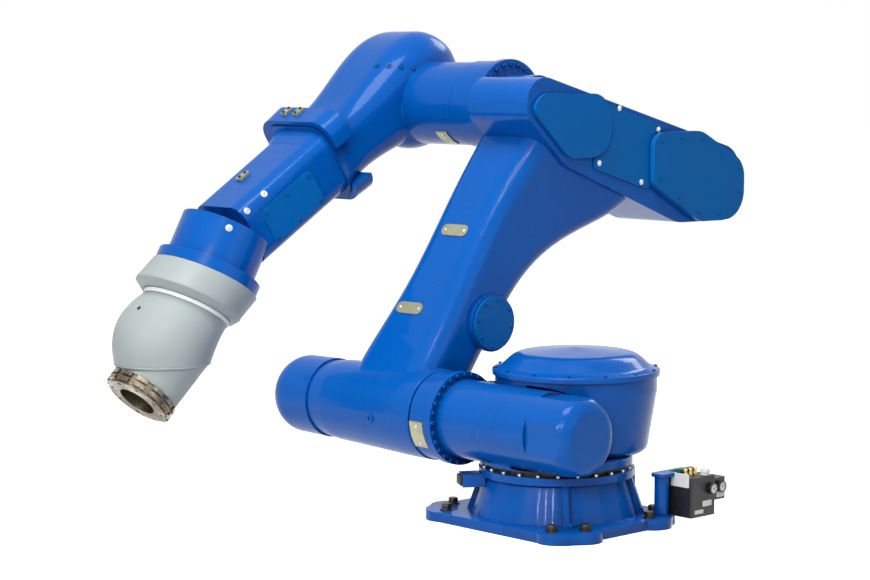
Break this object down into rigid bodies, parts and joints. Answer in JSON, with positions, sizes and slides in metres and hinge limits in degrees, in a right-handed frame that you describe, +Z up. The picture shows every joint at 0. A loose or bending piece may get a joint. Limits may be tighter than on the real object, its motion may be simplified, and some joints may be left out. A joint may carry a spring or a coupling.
{
  "type": "painting robot",
  "caption": "Articulated painting robot: cast arm on a bolted round foot with swing, shoulder, elbow and hollow roll wrist, and a side air unit.",
  "frame": {"origin": "foot underside on the swing axis", "axes": "+Z up along the swing axis, +X to the front of the robot, +Y to its left"},
  "size_m": [1.7495, 1.455, 1.29],
  "materials": {
    "blue_paint": "gloss",
    "zinc": "satin",
    "black_steel": "satin",
    "black_plastic": "matte",
    "pale_plastic": "gloss",
    "brass": "satin",
    "gold_plate": "satin",
    "blue_covers": "gloss",
    "grey_paint": "matte",
    "white_seal": "matte",
    "steel": "satin"
  },
  "bodies": {
    "base": {"base_casting": "blue_paint", "base_flange_bolts": "zinc", "slewing_ring": "black_steel", "stop_block": "blue_paint", "cable_box": "blue_paint", "conduit_post": "blue_paint", "air_bracket": "blue_paint", "regulator_block": "black_plastic", "filter_block": "black_plastic", "pressure_gauges": "pale_plastic", "air_fittings": "brass", "air_plug": "pale_plastic"},
    "swivel": {"swivel_casting": "blue_paint", "swivel_motor_cover": "blue_paint", "shoulder_flange_bolts": "blue_paint", "shoulder_motor_cover": "blue_paint", "shoulder_connector": "black_plastic", "shoulder_index_plate": "gold_plate"},
    "lower_arm": {"lower_arm_casting": "blue_paint", "elbow_head_casting": "blue_paint", "hub_end_cap": "blue_paint", "arm_side_cover": "blue_paint", "arm_lower_plate": "gold_plate", "arm_upper_plate": "gold_plate", "elbow_flange_bolts": "blue_paint", "elbow_front_cover": "blue_covers", "elbow_middle_cover": "blue_covers", "elbow_rear_cover": "blue_covers", "elbow_cover_screws": "zinc"},
    "forearm": {"forearm_casting": "blue_paint", "forearm_motor_cover": "blue_paint", "forearm_end_ring": "blue_paint", "elbow_index_plate": "gold_plate", "forearm_saddle": "blue_paint", "forearm_vents": "gold_plate", "forearm_side_cover": "blue_paint", "wrist_collar": "grey_paint", "wrist_seal_ring": "white_seal", "forearm_top_block": "gold_plate"},
    "wrist_barrel": {"wrist_barrel": "grey_paint"},
    "wrist_nose": {"wrist_nose": "grey_paint"},
    "tool_flange": {"tool_flange": "steel"}
  },
  "joints": [
    {"name": "swing", "type": "hinge", "parent": "base", "child": "swivel", "pos_m": [0, 0, 0.144], "axis": [0, 0, -1], "range_deg": [-150, 150]},
    {"name": "shoulder", "type": "hinge", "parent": "swivel", "child": "lower_arm", "pos_m": [0.156, -0.273, 0.263], "axis": [0, 1, 0], "range_deg": [-35, 120]},
    {"name": "elbow", "type": "hinge", "parent": "lower_arm", "child": "forearm", "pos_m": [-0.32078, -0.618, 1.07891], "axis": [0, -1, 0], "range_deg": [-8, 190]},
    {"name": "wrist_roll", "type": "hinge", "parent": "forearm", "child": "wrist_barrel", "pos_m": [0.51168, -0.93, 0.51867], "axis": [0.4848, 0, -0.8746], "range_deg": [-360, 360]},
    {"name": "wrist_bend", "type": "hinge", "parent": "wrist_barrel", "child": "wrist_nose", "pos_m": [0.59167, -0.93, 0.37436], "axis": [0, 0, -1], "range_deg": [-360, 360]},
    {"name": "tool_turn", "type": "hinge", "parent": "wrist_nose", "child": "tool_flange", "pos_m": [0.65442, -0.93, 0.30707], "axis": [0.682, 0, -0.7314], "range_deg": [-360, 360]}
  ]
}
